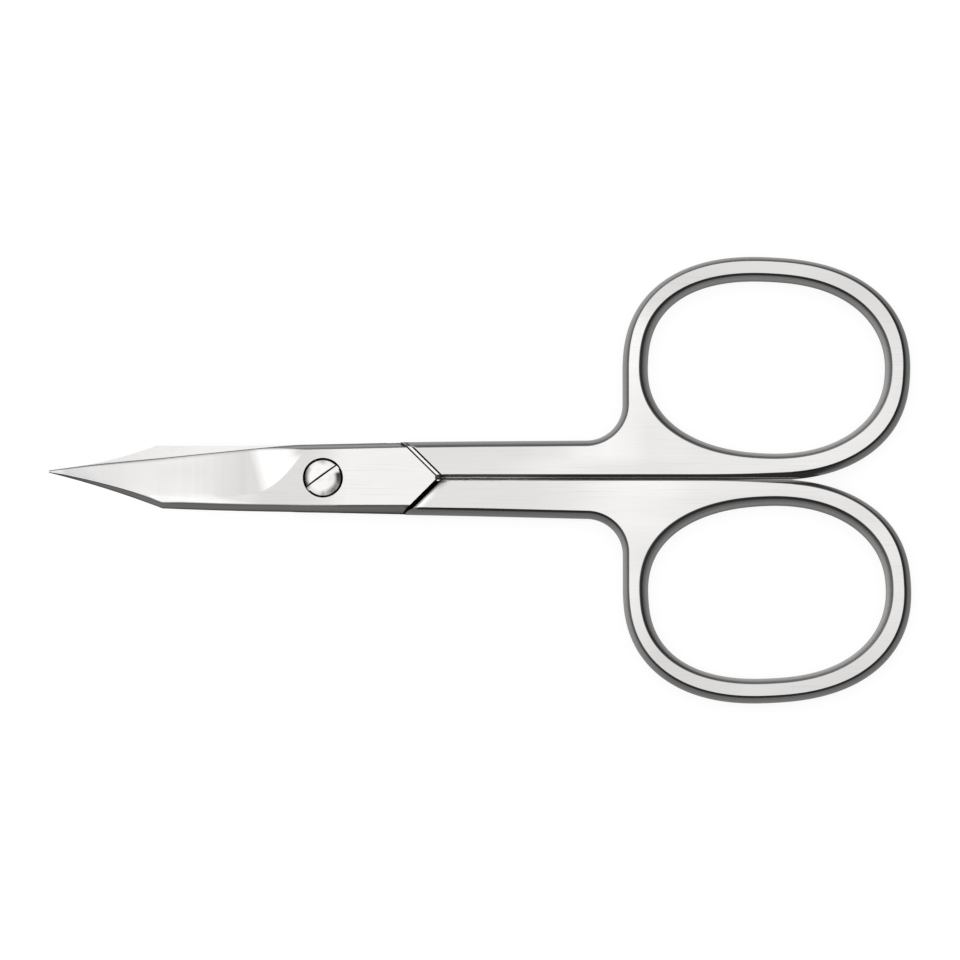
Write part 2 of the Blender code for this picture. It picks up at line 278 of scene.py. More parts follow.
handle = {
    "shankReach": 3.88 * mm,
    "shankFlare": 0.3 * mm,
    "shankStep": 0.02 * mm,
    "settingRun": 0.8,  # the share of the shank over which the setting dies out
    "ringDistance": 46.28 * mm,
    "ringLength": 15.022 * mm,
    "ringWidth": 11.748 * mm,
    "ringLift": 0.03 * mm,
    "holeLift": 0.09 * mm,
    "squareness": 2.28,
    "crown": 0.06,
    "holeShoulder": 0.09,
    "lean": math.radians(-3.0),
    "wall": 2.65 * mm,
    "fillet": 3.8 * mm,
    "shankBulges": {1: 0.80 * mm, -1: 0.59 * mm},
    "ringBulge": 0.64 * mm,
    "endBulge": 0.12 * mm,  # more at the far end of the ring
    "lowBulge": 0.12 * mm,  # less on the sides that look towards -Y
    "holeBulge": 0.76 * mm,
    "webBulge": 0.20 * mm,  # more where the hole nears the shank
    "holeLowBulge": 0.15 * mm,
    "webSide": math.radians(195),
    "partingCrown": 0.27 * mm,
    "edgeRound": 0.07 * mm,
    "edgeAngles": (30, 55, 75, 90),
    "sideLevels": 16,
    "partingSteps": 40,
    "ringSteps": 200,
    "filletSteps": 20,
    "shankRows": (24 * mm, 20 * mm, 16 * mm),
}


def ringPoint(angle, inset=0.0, lift=0.0, shoulder=0.0):
    # a squared oval that leans a little towards the blades; lengths here are half lengths
    c, s = math.cos(angle), math.sin(angle)
    power = 2 / (handle["squareness"] + handle["crown"] * s - shoulder * c)
    along = math.copysign(abs(c) ** power, c) * (handle["ringLength"] - inset)
    across = math.copysign(abs(s) ** power, s) * (handle["ringWidth"] - inset)
    c, s = math.cos(handle["lean"]), math.sin(handle["lean"])
    x = handle["ringDistance"] + along * c - across * s
    y = handle["ringWidth"] + handle["ringLift"] + lift + along * s + across * c
    return x, y


def shankReach(x, side):
    run = handle["ringDistance"] - handle["ringLength"] - joint["plateLength"]
    past = (x - joint["plateLength"]) / run
    shift = side * joint["setting"] * min(max(1 - past / handle["settingRun"], 0.0), 1.0)
    return handle["shankReach"] + handle["shankFlare"] * past + shift


def arc(centre, radius, start, end, count):
    angles = [mix(start, end, i / count) for i in range(count + 1)]
    return [(centre[0] + radius * math.cos(a), centre[1] + radius * math.sin(a)) for a in angles]


def handleOutline(side):
    # x, y and the bulge of the side that starts there; the shoulder's side has no bulge
    def climb(angle):
        return ringPoint(angle + 1e-4)[0] - ringPoint(angle - 1e-4)[0]

    leave = solve(lambda a: ringPoint(a)[1] - parting, math.radians(-89), math.radians(-30))
    leftmost = solve(climb, math.radians(150), math.radians(210))
    shoulder = shoulderReach + joint["seamShifts"][side]
    start, end = shoulder + joint["arrowRound"], ringPoint(leave)[0]
    crownStart = handle["ringDistance"] - handle["ringLength"] / 2
    leaving = handle["ringBulge"] - handle["lowBulge"] * max(0.0, -side * math.sin(leave))
    outline = [(shoulder - parting, parting, handle["partingCrown"])]
    steps = handle["partingSteps"]
    for i in range(steps):
        x = mix(start, end, i / steps)
        run = max(0.0, (x - crownStart) / (end - crownStart))
        outline.append((x, parting, mix(handle["partingCrown"], leaving, run**2)))
    steps = handle["ringSteps"]
    for i in range(steps + 1):
        angle = mix(leave, leftmost, i / steps)
        wider = handle["endBulge"] * max(0.0, math.cos(angle)) ** 2
        wider -= handle["lowBulge"] * max(0.0, -side * math.sin(angle))
        outline.append((*ringPoint(angle), handle["ringBulge"] + wider))
    shankBulge = handle["shankBulges"][side]
    centreX = outline[-1][0] - handle["fillet"]
    centre = (centreX, shankReach(centreX, side) + handle["fillet"])
    steps = handle["filletSteps"]
    for i, (x, y) in enumerate(arc(centre, handle["fillet"], 0.0, -math.pi / 2, steps)):
        outline.append((x, y, mix(handle["ringBulge"], shankBulge, i / steps)))
    for x in handle["shankRows"]:
        outline.append((x, shankReach(x, side), shankBulge))
    outer = shankReach(shoulder - handle["shankReach"], side)
    outline.append((shoulder - outer, outer, None))
    return outline


def holeOutline(side):
    # clockwise, so that the inset moves away from the hole
    outline = []
    for i in range(handle["ringSteps"]):
        angle = -2 * math.pi * i / handle["ringSteps"]
        wider = handle["webBulge"] * max(0.0, math.cos(angle - handle["webSide"])) ** 2
        if side > 0:
            wider -= handle["holeLowBulge"] * max(0.0, math.sin(angle))
        point = ringPoint(angle, handle["wall"], handle["holeLift"], handle["holeShoulder"])
        outline.append((*point, handle["holeBulge"] + wider))
    return outline


def sideInset(bulge, height):
    # how far a side stands back at a height above the middle
    foot = middle - joint["plateDrop"] - joint["facetSink"]
    if bulge is None and height > foot:
        return joint["facet"] * (height - foot) / (middle - foot)
    if bulge is None:
        deep = max(0.0, joint["shoulderRound"] - middle - height)
        return joint["shoulderRound"] - math.sqrt(max(0.0, joint["shoulderRound"] ** 2 - deep**2))
    radius = (middle**2 + bulge**2) / (2 * bulge)
    past = max(0.0, abs(height) - middle + handle["edgeRound"])
    rounding = handle["edgeRound"] - math.sqrt(max(0.0, handle["edgeRound"] ** 2 - past**2))
    return radius - math.sqrt(radius**2 - height**2) + rounding


def insetLoop(outline, height):
    # each side moves in by its own amount, and neighbours meet where they cross
    count = len(outline)
    normals = []
    for i in range(count):
        (x0, y0), (x1, y1) = outline[i][:2], outline[(i + 1) % count][:2]
        length = math.hypot(x1 - x0, y1 - y0)
        normals.append(((y0 - y1) / length, (x1 - x0) / length))
    points = []
    for i in range(count):
        (ax, ay), (bx, by) = normals[i - 1], normals[i]
        a = sideInset(outline[i - 1][2], height)
        b = sideInset(outline[i][2], height)
        turn = ax * by - ay * bx
        if abs(turn) < 0.3:
            amount = (a + b) / 2 / (1 + ax * bx + ay * by)
            dx, dy = (ax + bx) * amount, (ay + by) * amount
        else:
            dx, dy = (a * by - b * ay) / turn, (ax * b - bx * a) / turn
        points.append((outline[i][0] + dx, outline[i][1] + dy))
    return points


def roundTip(points, height, widest):
    # the arrow tip, the first point, becomes an arc that widens towards the outer face
    deep = min(max(-height / middle, 0.0), 1.0)
    radius = mix(joint["arrowSharp"], widest, deep**2)
    x, y = points[0]
    away = []
    for px, py in (points[-1], points[1]):
        length = math.hypot(px - x, py - y)
        away.append(((px - x) / length, (py - y) / length))
    (ax, ay), (bx, by) = away
    halfAngle = math.acos(ax * bx + ay * by) / 2
    length = math.hypot(ax + bx, ay + by)
    out = radius / math.sin(halfAngle)
    centre = (x + (ax + bx) / length * out, y + (ay + by) / length * out)
    run = radius / math.tan(halfAngle)
    start = math.atan2(y + ay * run - centre[1], x + ax * run - centre[0])
    end = math.atan2(y + by * run - centre[1], x + bx * run - centre[0])
    return arc(centre, radius, start, end, joint["arrowSteps"]) + points[1:]


def handleLevels():
    radius = (middle**2 + handle["holeBulge"] ** 2) / (2 * handle["holeBulge"])
    widest = math.asin((middle - handle["edgeRound"]) / radius)
    count = handle["sideLevels"]
    levels = [radius * math.sin(mix(-widest, widest, i / count)) for i in range(count + 1)]
    lowered = [1 - math.sin(math.radians(angle)) for angle in handle["edgeAngles"]]
    ends = [middle - handle["edgeRound"] * low for low in lowered]
    facetFoot = middle - joint["plateDrop"] - joint["facetSink"]
    return sorted(levels + ends + [-end for end in ends] + [facetFoot])


def makeHandle(name, side):
    # the sides are lofted through the levels, and the two flat faces filled around the hole
    bm = bmesh.new()
    levels = handleLevels()
    rims = {0: [], len(levels) - 1: []}
    for outline in (handleOutline(side), holeOutline(side)):
        rings = []
        for height in levels:
            loop = insetLoop(outline, height)
            if outline[-1][2] is None:
                loop = roundTip(loop, height, joint["arrowSharp" if side > 0 else "arrowRound"])
            rings.append([bm.verts.new((x, side * y, middle + side * height)) for x, y in loop])
        count = len(rings[0])
        for low, high in zip(rings, rings[1:]):
            for i in range(count):
                j = (i + 1) % count
                bm.faces.new((low[i], low[j], high[j], high[i]))
        for level in rims:
            ring = rings[level]
            rims[level] += [bm.edges.get((ring[i], ring[i - 1])) for i in range(count)]
    for edges in rims.values():
        bmesh.ops.triangle_fill(bm, edges=edges, use_beauty=True)
    return place(name, meshFrom(name, bm))


blade = {
    "corner": 16.7 * mm,
    "reach": 3.25 * mm,
    "backHollow": 0.27 * mm,
    "curveStart": 6.0 * mm,
    "tipRise": 5.497 * mm,
    "tipWidth": 0.2 * mm,
    "tipShift": -0.06 * mm,
    "tipTaper": 1.5 * mm,
    "heel": 2.4 * mm,
    "fullness": 1.2,
    "edgeTurn": 0.15,
    "edgeThickness": 0.2 * mm,
    "backSlant": 0.42,
    "plateSlant": 0.62,
    "cornerSlim": 0.1 * mm,  # the side is narrower round the corner of the back
    "edgeSlant": 0.54,
    "honeSlant": 0.48,
    "grindSlope": 0.22,
    "pointSlope": 0.33,
    "pointStart": 14.0 * mm,
    "pointEnd": 25.0 * mm,
    "grindLength": 7.5 * mm,
    "wheelRadius": 16.7 * mm,
    "edgeRound": 0.05 * mm,
}
# the blade below is set a little further out, so its back shows past the cutting edge above
farBlade = {"corner": 17.35 * mm, "reach": 3.37 * mm, "backHollow": 0.36 * mm}
# where the forms above fade in: over a thickness of the ground edge, or along the blade
bladeBands = {
    "hone": (0.2 * mm, 0.6 * mm),
    "rounding": (0.33 * mm, 1.0 * mm),
    "plateSide": (-2 * mm, 9 * mm),
    "slimShift": 0.5 * mm,
    "slimRun": 3 * mm,
}


def startTree(name, sizes):
    # a node tree for a modifier with a named input for every size, and one for the material
    group = bpy.data.node_groups.new(name, "GeometryNodeTree")
    group.interface.new_socket("Piece", in_out="OUTPUT", socket_type="NodeSocketGeometry")
    for label, value in sizes.items():
        socket = group.interface.new_socket(label, in_out="INPUT", socket_type="NodeSocketFloat")
        socket.default_value = value
    group.interface.new_socket("steel", in_out="INPUT", socket_type="NodeSocketMaterial")
    tree = Tree(group)
    return tree, tree.node("NodeGroupInput")


def bladeTree():
    # a closed loft: rows along the blade, and points around each cross-section
    sizes = {**blade, "tip": tip, "middle": middle, "side": 1.0, "plateThickness": plateThickness}
    for name in ("lapGap", "plateLength", "plateReach", "setting"):
        sizes[name] = joint[name]
    sizes["plateEnd"] = joint["plateLength"] + joint["lapRun"]
    sizes["shankReach"] = handle["shankReach"] - handle["shankStep"]
    tree, size = startTree("groundBlade", sizes)

    rows = {"point": 48, "blade": 90, "plate": 14}
    spans = {"meeting": 12, "wall": 4, "backRound": 2, "flat": 8, "ground": 12}
    spans.update(edgeRound=2, edge=4)
    rowCount = sum(rows.values()) + 2
    counts = {"Vertices X": rowCount + 1, "Vertices Y": sum(spans.values()) + 1}
    grid = tree.node("GeometryNodeMeshGrid", {}, {"Size X": 1.0, "Size Y": 1.0, **counts})
    spot = tree.node("ShaderNodeSeparateXYZ", {}, {0: tree.node("GeometryNodeInputPosition")})
    row = (spot["X"] + 0.5) * rowCount
    around = spot["Y"] + 0.5

    # along the blade: tip to corner, corner to pivot, pivot to the end of the lap
    x = (size["tip"] - size["corner"]) * row.share(1, 1 + rows["point"])
    x = x + size["corner"] * row.share(1 + rows["point"], 1 + rows["point"] + rows["blade"])
    x = x + size["plateEnd"] * row.share(rowCount - 1 - rows["plate"], rowCount - 1) - size["tip"]
    ahead = 0 - x

    def reach(where):
        towardsTip = (0 - where).share(0, size["corner"])
        towardsRing = where.share(0, size["plateLength"])
        wider = (size["shankReach"] - size["plateReach"]) * towardsRing
        return size["plateReach"] + (size["reach"] - size["plateReach"]) * towardsTip + wider

    past = ahead.share(size["corner"], size["tip"])
    tipBack = size["tipShift"] - size["tipWidth"] / 2
    tipEdge = size["tipShift"] + size["tipWidth"] / 2
    back = (size["reach"] + tipBack) * past - reach(x) + size["backHollow"] * 4 * past * (1 - past)
    cut = ahead.share(size["heel"], size["tip"])
    turn = size["edgeTurn"] * cut**6 + (1 - size["edgeTurn"]) * cut ** size["fullness"]
    edge = reach(x.atLeast(0 - size["heel"])) - (reach(0 - size["heel"]) - tipEdge) * turn

    # thickness: flat near the screw, ground towards the cutting edge and steeper towards the tip
    runOut = (x + size["grindLength"]).atLeast(0) ** 2 / (2 * size["wheelRadius"])
    taper = 0.3 + 0.7 * (size["tip"] + x).share(0, size["tipTaper"])
    ground = size["edgeThickness"] * taper + runOut
    atPoint = ahead.share(size["pointStart"], size["pointEnd"])
    slope = size["grindSlope"] + (size["pointSlope"] - size["grindSlope"]) * atPoint
    edgeSlant = mix(size["honeSlant"], size["edgeSlant"], ground.share(*bladeBands["hone"]))
    plateSide = x.share(*bladeBands["plateSide"])
    backSlant = size["backSlant"] + (size["plateSlant"] - size["backSlant"]) * plateSide

    def outer(y):
        return (ground + slope * (edge - y)).atMost(size["plateThickness"])

    backThickness = (ground + slope * (edge - back)) / (1 + slope * backSlant)
    backThickness = backThickness.atMost(size["plateThickness"])
    edgeThickness = (ground / (1 - slope * edgeSlant)).atMost(size["plateThickness"])
    fromCorner = abs(ahead - size["corner"] - bladeBands["slimShift"])
    atCorner = 1 - fromCorner.share(0, bladeBands["slimRun"], "SMOOTHSTEP")
    outerBack = back + backSlant * backThickness - size["cornerSlim"] * atCorner
    outerEdge = edge - edgeSlant * edgeThickness
    backRound = size["edgeRound"] * past.share(1, 0.8)
    edgeRound = size["edgeRound"] * (0.4 + 0.6 * ground.share(*bladeBands["rounding"]))
    ridge = edge - (size["plateThickness"] - ground) / slope
    ridge = ridge.atLeast(outerBack + backRound).atMost(outerEdge - edgeRound)
    corners = [
        (edge, 0 * x),
        (back, 0 * x),
        (outerBack - backSlant * backRound, backThickness - backRound),
        (outerBack + backRound, outer(outerBack + backRound)),
        (ridge, outer(ridge)),
        (outerEdge - edgeRound, outer(outerEdge - edgeRound)),
        (outerEdge + edgeSlant * edgeRound, edgeThickness - edgeRound),
        (edge, 0 * x),
    ]
    y, rise = corners[0]
    passed = 0
    for count, near, far in zip(spans.values(), corners, corners[1:]):
        total = sum(spans.values())
        step = around.share(passed / total, (passed + count) / total)
        y = y + (far[0] - near[0]) * step
        rise = rise + (far[1] - near[1]) * step
        passed += count

    # the first and last rows shrink to a point, which closes the two ends
    opened = row.share(0, 1) * row.share(rowCount, rowCount - 1)
    centre = (edge + back) / 2
    fromCrest, fromRidge, fromMeeting = y - outerBack, y - ridge, rise
    y = centre + (y - centre) * opened
    rise = rise * opened
    y = y + size["side"] * size["setting"] * (1 - ahead.share(0, size["corner"]) ** 2)
    bowed = tree.length(x.atMost(0), y) - size["curveStart"]
    dish = bowed.atLeast(0) ** 2 * size["tipRise"] / (size["tip"] - size["curveStart"]) ** 2
    z = size["middle"] + dish + size["side"] * (size["lapGap"] / 2 + rise)
    there = tree.node("ShaderNodeCombineXYZ", {}, {"X": x, "Y": y * size["side"], "Z": z})
    kept = grid
    onPoints = {"data_type": "FLOAT", "domain": "POINT"}
    for name, value in (("Crest", fromCrest), ("Ridge", fromRidge), ("Meeting", fromMeeting)):
        stored = {"Geometry": kept, "Name": "from" + name, "Value": value}
        kept = tree.node("GeometryNodeStoreNamedAttribute", onPoints, stored)
    moved = tree.node("GeometryNodeSetPosition", {}, {"Geometry": kept, "Position": there})
    merged = {"Geometry": moved, "Distance": samePlace}
    closed = tree.node("GeometryNodeMergeByDistance", {}, merged)
    tree.finish(closed, size["steel"])
    return tree.nodeTree


def runTree(name, group, steel, **changed):
    # an object whose mesh is what the node tree makes
    piece = place(name, bpy.data.meshes.new(name))
    maker = piece.modifiers.new(group.name, "NODES")
    maker.node_group = group
    for item in group.interface.items_tree:
        if item.in_out == "INPUT" and item.name == "steel":
            maker[item.identifier] = steel
        elif item.in_out == "INPUT" and item.name in changed:
            maker[item.identifier] = changed[item.name]
    return mend(settle(piece))


def prism(name, points, bottom, top):
    bm = bmesh.new()
    face = bm.faces.new([bm.verts.new((x, y, bottom)) for x, y in points])
    lifted = bmesh.ops.extrude_face_region(bm, geom=[face])["geom"]
    risen = [v for v in lifted if isinstance(v, bmesh.types.BMVert)]
    bmesh.ops.translate(bm, verts=risen, vec=(0, 0, top - bottom))
    return place(name, meshFrom(name, bm))


def turned(name, profile, segments=96):
    # a shape of revolution about the pivot from pairs of radius and height, top to bottom
    mesh = bpy.data.meshes.new(name)
    edges = [(i, i + 1) for i in range(len(profile) - 1)]
    mesh.from_pydata([(r, 0, z) for r, z in profile], edges, [])
    piece = place(name, mesh)
    turn = piece.modifiers.new("turn", "SCREW")
    turn.steps = turn.render_steps = segments
    turn.use_merge_vertices = True
    turn.merge_threshold = 0.0005 * mm
    return mend(settle(piece))


def markingLine(name, diagonal, height, width):
    # a fine V groove across the shank along x + y = diagonal
    bm = bmesh.new()
    size = width / math.sqrt(2)
    bmesh.ops.create_cube(bm, size=size)
    bmesh.ops.scale(bm, verts=bm.verts, vec=(20 * mm / size, 1, 1))
    line = place(name, meshFrom(name, bm))
    line.rotation_euler = (math.radians(45), 0, math.radians(-45))
    line.location = (diagonal / 2, diagonal / 2, height)
    return line


def stopRelief(name, shoulder, side):
    # the back of the blade below passes here when the scissors stand open to the stop
    outer = shankReach(shoulder - handle["shankReach"], side)
    x, y = shoulder - outer + joint["stopRelief"], outer - joint["stopRelief"]
    dx, dy = -math.cos(joint["stopAngle"]) * mm, math.sin(joint["stopAngle"]) * mm
    spread = ((-1, 0), (3, 0), (3, 3), (-1, 3))
    corners = [(x + a * dx - b * dy, y + a * dy + b * dx) for a, b in spread]
    return prism(name + "_relief", corners, -clearOfIt, middle + joint["stopHeight"])


def makeHalf(name, side, group, steel):
    # the half under the screw head has side 1, the other -1
    piece = runTree(name, group, steel, side=float(side), **(farBlade if side < 0 else {}))
    inShank, far = parting + handle["partingCrown"], clearOfIt
    start = joint["plateLength"] + max(0.0, joint["seamShifts"][-side])
    shoulder = shoulderReach + joint["seamShifts"][side]
    lapEnd = [
        (start - parting, side * parting),
        (shoulder + handle["partingCrown"], side * inShank),
        (start + far, side * inShank),
        (start + far, -side * far),
        (start - far, -side * far),
    ]
    combine(piece, prism(name + "_end", lapEnd, -far, far), "DIFFERENCE")
    combine(piece, makeHandle(name + "_handle", side), "UNION")
    bore = screw["diameter"] / 2 + screw["running"]
    hollow = [(0, far), (bore, far), (bore, -far), (0, -far)]
    combine(piece, turned(name + "_bore", hollow), "DIFFERENCE")
    if side > 0:
        combine(piece, stopRelief(name, shoulder, side), "DIFFERENCE")
        floor = screwTop - screw["dome"] - screw["headHeight"] - screw["running"]
        recess = screw["headDiameter"] / 2 + screw["headClearance"]
        hollow = [(0, far), (recess, far), (recess, floor), (0, floor)]
        combine(piece, turned(name + "_recess", hollow), "DIFFERENCE")
        top = middle * 2 + joint["lineLift"]
        crest = shoulder + joint["facet"] * math.sqrt(2)
        lines = {"foot": (shoulder, top - joint["plateDrop"]), "crest": (crest, top)}
        for line, where in lines.items():
            groove = markingLine(name + "_" + line, *where, joint["lineWidths"][line])
            combine(piece, groove, "DIFFERENCE")
    piece.data.materials.clear()
    piece.data.materials.append(steel)
    smooth(piece, math.radians(30))
    return piece


screw = {
    "headDiameter": 3.9 * mm,
    "headHeight": 0.8 * mm,
    "dome": 0.12 * mm,
    "headRound": 0.3 * mm,
    "headDrop": 0.6,  # the rounding of the rim is flatter than a circle
    "underHead": 0.05 * mm,
    "headClearance": 0.15 * mm,
    "diameter": 2.4 * mm,
    "running": 0.05 * mm,
    "tailChamfer": 0.15 * mm,
    "slotWidth": 0.62 * mm,
    "slotDepth": 0.45 * mm,
    "slotSlopes": (0.05 * mm, 0.15 * mm),
    "slotShift": 0.05 * mm,
    "sawReach": 4 * mm,
    "slotAngle": math.radians(36.4),
    "threadPitch": 0.4 * mm,
    "threadDepth": 0.1 * mm,
    "threadTurns": 3.2,
}


def threadTree():
    # a ridge that winds up the tail of the screw
    names = ("diameter", "threadPitch", "threadDepth", "threadTurns", "tailChamfer")
    tree, size = startTree("screwThread", {name: screw[name] for name in names})
    core = size["diameter"] / 2 - size["threadDepth"]
    spiral = {"Resolution": 48, "Rotations": size["threadTurns"]}
    spiral.update({"Start Radius": core, "End Radius": core})
    spiral["Height"] = size["threadTurns"] * size["threadPitch"]
    path = tree.node("GeometryNodeCurveSpiral", {}, spiral)
    upright = tree.node("GeometryNodeSetCurveNormal", {"mode": "Z_UP"}, {"Curve": path})
    diamond = {"Resolution": 4, "Radius": size["threadDepth"]}
    ridge = tree.node("GeometryNodeCurvePrimitiveCircle", {}, diamond)
    swept = {"Curve": upright, "Profile Curve": ridge, "Fill Caps": True}
    wound = tree.node("GeometryNodeCurveToMesh", {}, swept)
    lift = tree.node("ShaderNodeCombineXYZ", {}, {"Z": size["tailChamfer"]})
    lifted = tree.node("GeometryNodeTransform", {}, {"Geometry": wound, "Translation": lift})
    tree.finish(lifted, size["steel"])
    return tree.nodeTree


def makeScrew(steel):
    headRadius, radius = screw["headDiameter"] / 2, screw["diameter"] / 2
    core = radius - screw["threadDepth"]
    top = screwTop
    bottom = screwTop - screw["dome"] - screw["headHeight"]
    flat = headRadius - screw["headRound"]
    domeRadius = (headRadius**2 + screw["dome"] ** 2) / (2 * screw["dome"])
    profile = []
    for i in range(9):
        r = flat * i / 8
        profile.append((r, top - domeRadius + math.sqrt(domeRadius**2 - r**2)))
    rimTop = profile[-1][1]
    for i in range(1, 7):
        a = math.radians(90) * i / 6
        down = screw["headRound"] * screw["headDrop"] * (1 - math.cos(a))
        profile.append((flat + screw["headRound"] * math.sin(a), rimTop - down))
    threadTop = screw["tailChamfer"] + (screw["threadTurns"] + 0.5) * screw["threadPitch"]
    profile += [
        (headRadius, bottom + screw["underHead"]),
        (headRadius - screw["underHead"], bottom),
        (radius, bottom),
        (radius, threadTop),
        (core, threadTop - screw["threadDepth"]),
        (core, screw["tailChamfer"]),
        (core - screw["tailChamfer"], 0),
        (0, 0),
    ]
    piece = turned("pivot_screw_turned", profile)
    thread = runTree("thread", threadTree(), steel)
    combine(piece, thread, "UNION")
    # the saw has left the slot with slanted walls, so it is drawn on its end and laid down
    wide, deep, (near, far) = screw["slotWidth"] / 2, screw["slotDepth"], screw["slotSlopes"]
    ends = [(-deep, near - wide), (deep, -wide - near), (deep, wide + far), (-deep, wide - far)]
    ends = [(x, y + screw["slotShift"]) for x, y in ends]
    slot = prism("slot", ends, -screw["sawReach"], screw["sawReach"])
    slot.rotation_euler = (0, math.radians(-90), screw["slotAngle"])
    slot.location.z = screwTop
    combine(piece, slot, "DIFFERENCE")
    piece.data.materials.clear()
    piece.data.materials.append(steel)
    smooth(piece, math.radians(35))
    return piece


halfFinish = {
    "tint": (1.0, 0.985, 0.977),
    "meeting": 0.84,
    # painted highlight on the sloped facets by the seam
    "facet": 0.98,
    "facetInside": 0.42,  # painted shade: near the parting the lower facet is darker
    # painted highlight along the back of the blade
    "rim": 0.97,
    "runOut": 0.94,  # painted highlight where the grinding ends
    # painted shade near the cutting edge by the plate
    "worn": 0.70,
    "sides": (0.135, 0.34),  # painted shade on the satin sides, turned away from the light, and towards it
    # painted light on the hole walls away from the middle of the thickness
    "holeGlow": 0.07,
    # painted shade in the gaps and seams and under the face edges
    "gap": 0.035,
    "seam": 0.006,
    # painted shade at the arrow tip
    "arrowWalls": 0.2,
    "arrowFaces": 0.07,
    "light": (-0.7, 0.7),
    "faceRoughness": 0.30,
    "groundRoughness": 0.20,
    "sideRoughness": 0.42,
    "dullRoughness": 0.9,  # in the gaps, where nothing is polished
    "hole": (13.7 * mm, 10.4 * mm),
    "seamMiddle": 12.2 * mm,
    "notchPlace": 10.85 * mm,
    # painted shade and light across the parting: dark edges and a lighter middle
    "partingStops": [
        (0.0, 0.05), (0.08, 0.05), (0.12, 0.95), (0.45, 0.95), (0.58, 0.16), (1.0, 0.15),
    ],
    # painted reflections along the plate and the ground blade
    "plateFrom": -8.0 * mm,
    "plateStops": [
        (0.0, 0.75), (0.08, 0.68), (0.33, 0.68), (0.43, 0.735), (0.47, 0.79), (0.53, 0.825),
        (1.0, 0.82),
    ],
    "groundFrom": -28.6 * mm,
    "groundStops": [
        (0.0, 1.0), (0.04, 1.0), (0.06, 0.90), (0.09, 0.96), (0.15, 0.98), (0.21, 0.90),
        (0.24, 0.88), (0.30, 0.87), (0.36, 0.855), (0.40, 0.84), (0.45, 0.81), (0.5, 0.79),
        (0.6, 0.74), (0.7, 0.66), (1.0, 0.70),
    ],
    # painted reflections along the shanks and around the rings
    "shankSpan": (12 * mm, 40 * mm),
    "upperShank": [
        (0.3, 0.70), (0.47, 0.75), (0.525, 0.82), (0.63, 0.865), (0.73, 0.82), (0.79, 0.765),
        (0.94, 0.79),
    ],
    "upperParting": [(0.2, 0.71), (0.43, 0.79), (0.55, 0.77), (0.8, 0.735), (1.0, 0.72)],
    "lowerShank": [
        (0.35, 0.70), (0.48, 0.74), (0.6, 0.81), (0.7, 0.85), (0.8, 0.84), (0.9, 0.85),
        (0.97, 0.80),
    ],
    "upperRing": [
        (0.0, 0.75), (0.05, 0.70), (0.12, 0.665), (0.2, 0.705), (0.375, 0.665), (0.42, 0.70),
        (0.455, 0.875), (0.5, 0.875), (0.55, 0.815), (0.62, 0.76), (0.75, 0.752), (0.82, 0.785),
        (0.93, 0.775), (1.0, 0.75),
    ],
    "lowerRing": [
        (0.0, 0.75), (0.08, 0.70), (0.125, 0.655), (0.28, 0.68), (0.33, 0.65), (0.41, 0.635),
        (0.46, 0.74), (0.5, 0.80), (0.58, 0.73), (0.625, 0.81), (0.70, 0.755), (0.78, 0.735),
        (0.85, 0.77), (1.0, 0.75),
    ],
    "grain": (260, 8000, 8000),  # features per metre along, across and through
    "fineGrain": (900, 24000, 24000),
    "cloud": (70, 140, 140),
    "hairline": (90, 12000, 12000),
    "grindMarks": (1500, 60, 60),
    "bumpHeight": 0.002 * mm,
}

